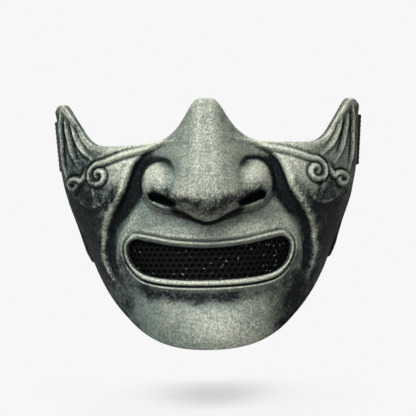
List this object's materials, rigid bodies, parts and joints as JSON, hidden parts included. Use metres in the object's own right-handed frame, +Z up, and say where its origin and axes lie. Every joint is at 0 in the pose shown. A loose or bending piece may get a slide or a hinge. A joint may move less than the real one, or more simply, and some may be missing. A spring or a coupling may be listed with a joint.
{
  "type": "samurai face guard",
  "caption": "Half mask worn over nose, cheeks and chin: moulded nose and lips, perforated panel behind an open mouth, and an elastic band round the back of the head",
  "frame": {"origin": "on the centre plane in the hollow that the wearer's face fills, 73.4 mm above the lowest edge of the chin: the mount face_seat", "axes": "+Z is up as worn, the face looks along -Y, and +X is on the right of a viewer who faces the mask"},
  "size_m": [0.1846, 0.2001, 0.1468],
  "materials": {
    "cast_resin": "weathered grey-green paint, dark in the recesses and dry-brushed pale on the ridges",
    "black_steel": "black semi-gloss paint",
    "black_cloth": "thin plain black cloth",
    "black_elastic": "woven black elastic"
  },
  "bodies": {
    "root": {"mask_shell": "cast_resin", "mouth_mesh": "black_steel", "mouth_backing": "black_cloth", "head_strap": "black_elastic"}
  },
  "joints": []
}
